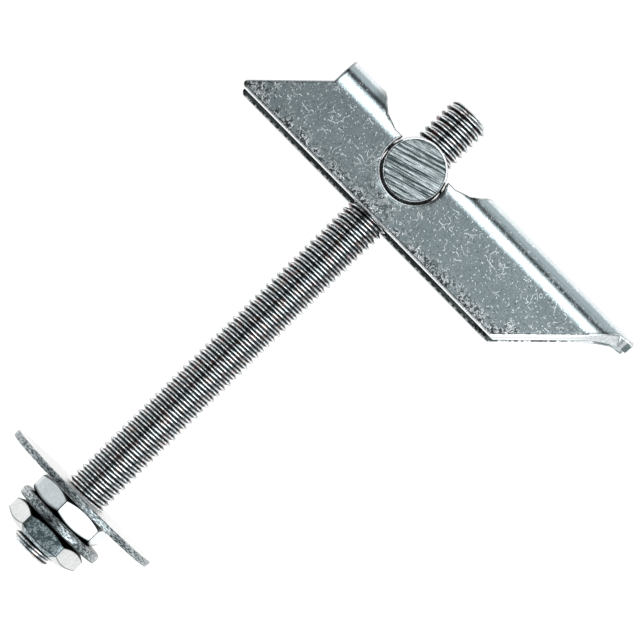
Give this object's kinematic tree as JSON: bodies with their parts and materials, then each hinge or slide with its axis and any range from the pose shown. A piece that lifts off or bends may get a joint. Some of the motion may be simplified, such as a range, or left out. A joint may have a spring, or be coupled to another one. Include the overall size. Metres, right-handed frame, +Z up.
{
  "type": "gravity toggle bolt",
  "caption": "Threaded rod with a pivoting folded-sheet toggle on a round cross nut, clamping washers and thin hex nuts for fixing through a hollow wall.",
  "frame": {"origin": "on the resting surface, under the middle of the bounding box", "axes": "+X along the rod towards the toggle, which lies 6.4 degrees nose down; +Y along the toggle's short arm; +Z up from the resting surface"},
  "size_m": [0.1, 0.0738, 0.0299],
  "materials": {
    "threaded_rod": "bright zinc plated rolled thread",
    "trunnion_nut": "bright zinc plated, sawn ends",
    "toggle_channel": "zinc plated pressed sheet, scuffed",
    "penny_washer": "zinc plated, sheared rim",
    "inner_nut": "bright zinc plated",
    "plain_washer": "zinc plated, sheared rim",
    "outer_nut": "bright zinc plated"
  },
  "bodies": {
    "rod": {"threaded_rod": "threaded_rod"},
    "trunnion": {"trunnion_nut": "trunnion_nut"},
    "toggle": {"toggle_channel": "toggle_channel"},
    "penny_washer": {"penny_washer": "penny_washer"},
    "inner_nut": {"inner_nut": "inner_nut"},
    "plain_washer": {"plain_washer": "plain_washer"},
    "outer_nut": {"outer_nut": "outer_nut"}
  },
  "joints": [
    {"name": "trunnion_feed", "type": "slide", "parent": "rod", "child": "trunnion", "axis": [0.9937, 0, -0.1123], "range_m": [-0.01, 0.008]},
    {"name": "toggle_fold", "type": "hinge", "parent": "trunnion", "child": "toggle", "pos_m": [0.03627, 0.0078, 0.00659], "axis": [0.1123, 0, 0.9937], "range_deg": [-48, 48]},
    {"name": "penny_slide", "type": "slide", "parent": "rod", "child": "penny_washer", "axis": [0.9937, 0, -0.1123], "range_m": [0, 0.03]},
    {"name": "inner_nut_spin", "type": "hinge", "parent": "penny_washer", "child": "inner_nut", "pos_m": [-0.03716, 0.0078, 0.01489], "axis": [0.9937, 0, -0.1123], "range_deg": [0, 8640]},
    {"name": "plain_slide", "type": "slide", "parent": "rod", "child": "plain_washer", "axis": [0.9937, 0, -0.1123], "range_m": [-0.005, 0]},
    {"name": "outer_nut_spin", "type": "hinge", "parent": "plain_washer", "child": "outer_nut", "pos_m": [-0.0471, 0.0078, 0.01601], "axis": [0.9937, 0, -0.1123], "range_deg": [-1440, 0]}
  ],
  "couplings": [
    {"joint": "inner_nut_spin", "follows": "penny_slide", "rad_per_m": 5026.5},
    {"joint": "outer_nut_spin", "follows": "plain_slide", "rad_per_m": 5026.5}
  ]
}
